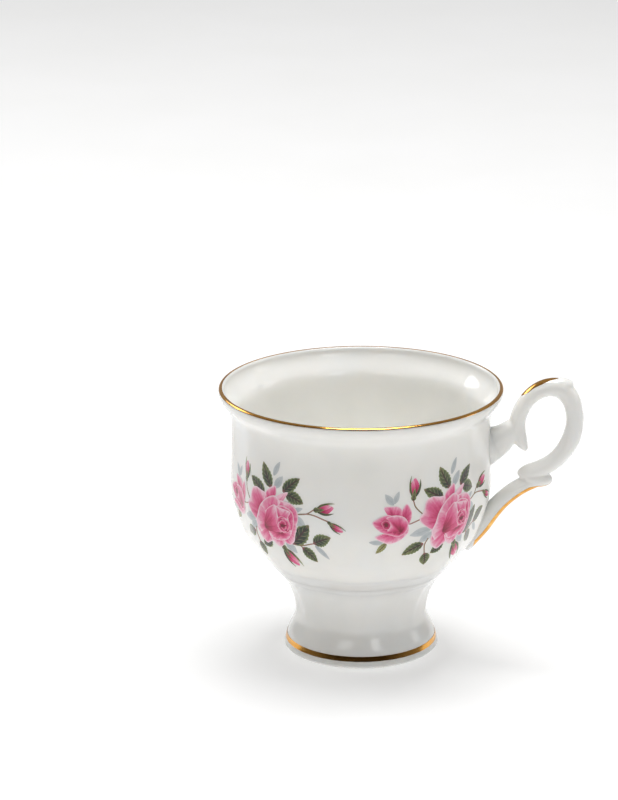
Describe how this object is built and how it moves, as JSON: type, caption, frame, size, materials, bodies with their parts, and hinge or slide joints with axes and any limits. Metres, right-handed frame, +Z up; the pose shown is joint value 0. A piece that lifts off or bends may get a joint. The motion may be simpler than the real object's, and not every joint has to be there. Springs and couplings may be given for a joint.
{
  "type": "teacup",
  "caption": "Footed bone china teacup with a flared gilded rim, panelled bowl, hollow pedestal foot, scrolled handle and rose sprays.",
  "frame": {"origin": "centre of the base on the cup's axis, on the plane that the foot stands on", "axes": "+Z up along the cup's axis, +X towards the handle, -Y the side seen in front with the handle at the right"},
  "size_m": [0.1077, 0.084, 0.0851],
  "materials": {
    "china": "glossy clear glaze over white bone china",
    "gold": "bright burnished gold",
    "rose_print": "fired ceramic colours under a glossy glaze"
  },
  "bodies": {
    "root": {"bowl": "china", "foot": "china", "handle": "china", "foot_slip_joint": "china", "handle_upper_slip_joint": "china", "handle_lower_slip_joint": "china", "rim_gilding": "gold", "foot_gilding": "gold", "handle_upper_gilding": "gold", "handle_lower_gilding": "gold", "rose_transfer_front_right": "rose_print", "rose_transfer_front_left": "rose_print", "rose_transfer_back_left": "rose_print", "rose_transfer_back_right": "rose_print"}
  },
  "joints": []
}
